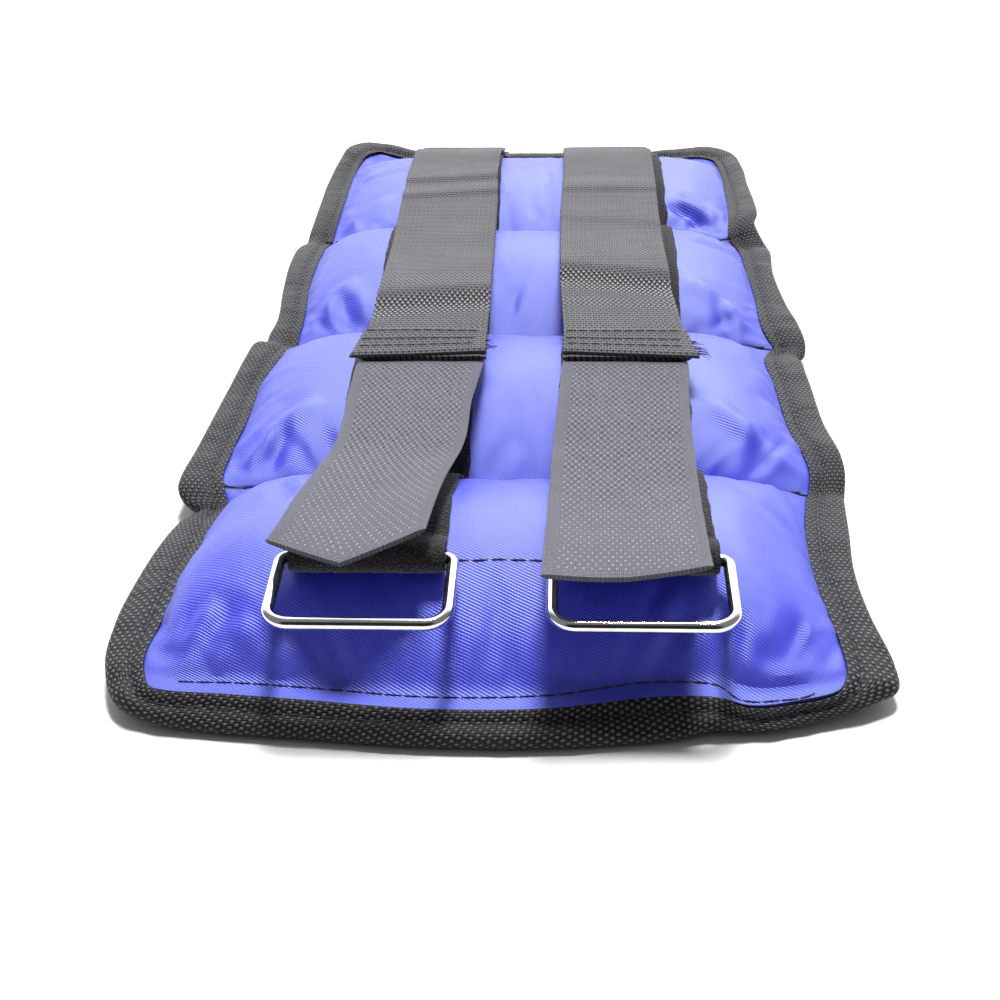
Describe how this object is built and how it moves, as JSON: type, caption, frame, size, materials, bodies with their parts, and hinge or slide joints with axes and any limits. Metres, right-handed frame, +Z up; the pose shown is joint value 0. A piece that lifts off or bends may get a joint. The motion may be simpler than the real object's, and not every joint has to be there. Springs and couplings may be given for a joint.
{
  "type": "ankle cuff weight",
  "caption": "Flat ankle cuff weight of sand-filled cloth pockets with bound edges, hook-and-loop straps and wire rings, folding at its cross seams to wrap a limb.",
  "frame": {"origin": "on the floor, under the middle of the cuff", "axes": "+Z up, +Y along the cuff from the ring end to the end where the straps are sewn, +X across it to the right"},
  "size_m": [0.187, 0.408, 0.041],
  "materials": {
    "outer_cloth": "plain-weave polyester oxford cloth with a satin sheen",
    "inner_cloth": "matt woven lining",
    "film": "heat-sealed polyethylene film",
    "sand": "dry sand",
    "binding_tape": "ribbed woven polyester tape",
    "thread": "spun polyester sewing thread",
    "loop_tape": "napped loop pile",
    "webbing": "woven polypropylene webbing",
    "hook_tape": "woven nylon back of hook tape",
    "ring_wire": "bright chromed steel wire"
  },
  "bodies": {
    "pocket_1": {"outer_panel_1": "outer_cloth", "inner_panel_1": "inner_cloth", "filling_bag_1": "film", "sand_fill_1": "sand", "binding_1": "binding_tape", "binding_stitch_1": "thread", "loop_tape_left_1": "loop_tape", "loop_tape_right_1": "loop_tape", "closing_stitch_front": "thread", "keeper_stitch": "thread", "seam_thread_12": "thread"},
    "pocket_2": {"outer_panel_2": "outer_cloth", "inner_panel_2": "inner_cloth", "filling_bag_2": "film", "sand_fill_2": "sand", "binding_2": "binding_tape", "binding_stitch_2": "thread", "loop_tape_left_2": "loop_tape", "loop_tape_right_2": "loop_tape", "seam_thread_23": "thread"},
    "pocket_3": {"outer_panel_3": "outer_cloth", "inner_panel_3": "inner_cloth", "filling_bag_3": "film", "sand_fill_3": "sand", "binding_3": "binding_tape", "binding_stitch_3": "thread", "loop_tape_left_3": "loop_tape", "loop_tape_right_3": "loop_tape", "seam_thread_34": "thread"},
    "pocket_4": {"outer_panel_4": "outer_cloth", "inner_panel_4": "inner_cloth", "filling_bag_4": "film", "sand_fill_4": "sand", "binding_4": "binding_tape", "binding_stitch_4": "thread", "loop_tape_left_4": "loop_tape", "loop_tape_right_4": "loop_tape", "strap_sewn_end_left": "webbing", "strap_sewn_end_right": "webbing", "anchor_stitch_left": "thread", "anchor_stitch_right": "thread"},
    "ring_left": {"ring_left": "ring_wire"},
    "strap_left": {"strap_webbing_left": "webbing", "hem_stitch_left": "thread"},
    "hook_tab_left": {"hook_tape_left": "hook_tape"},
    "ring_right": {"ring_right": "ring_wire"},
    "strap_right": {"strap_webbing_right": "webbing", "hem_stitch_right": "thread"},
    "hook_tab_right": {"hook_tape_right": "hook_tape"}
  },
  "joints": [
    {"name": "seam_fold_12", "type": "hinge", "parent": "pocket_1", "child": "pocket_2", "pos_m": [0, -0.097, 0.0072], "axis": [-1, 0, 0], "range_deg": [0, 80]},
    {"name": "seam_fold_23", "type": "hinge", "parent": "pocket_2", "child": "pocket_3", "pos_m": [0, 0, 0.0072], "axis": [-1, 0, 0], "range_deg": [0, 80]},
    {"name": "seam_fold_34", "type": "hinge", "parent": "pocket_3", "child": "pocket_4", "pos_m": [0, 0.097, 0.0072], "axis": [-1, 0, 0], "range_deg": [0, 80]},
    {"name": "ring_swing_left", "type": "hinge", "parent": "pocket_1", "child": "ring_left", "pos_m": [-0.033, -0.168, 0.0302], "axis": [-1, 0, 0], "range_deg": [-30, 20]},
    {"name": "strap_open_left", "type": "hinge", "parent": "pocket_4", "child": "strap_left", "pos_m": [-0.031, 0.2, 0.0116], "axis": [-1, 0, 0], "range_deg": [0, 165]},
    {"name": "hook_peel_left", "type": "hinge", "parent": "strap_left", "child": "hook_tab_left", "pos_m": [-0.031, -0.066, 0.03475], "axis": [-1, 0, 0], "range_deg": [0, 150]},
    {"name": "ring_swing_right", "type": "hinge", "parent": "pocket_1", "child": "ring_right", "pos_m": [0.033, -0.168, 0.0302], "axis": [-1, 0, 0], "range_deg": [-30, 20]},
    {"name": "strap_open_right", "type": "hinge", "parent": "pocket_4", "child": "strap_right", "pos_m": [0.031, 0.2, 0.0116], "axis": [-1, 0, 0], "range_deg": [0, 165]},
    {"name": "hook_peel_right", "type": "hinge", "parent": "strap_right", "child": "hook_tab_right", "pos_m": [0.031, -0.066, 0.03475], "axis": [-1, 0, 0], "range_deg": [0, 150]}
  ]
}
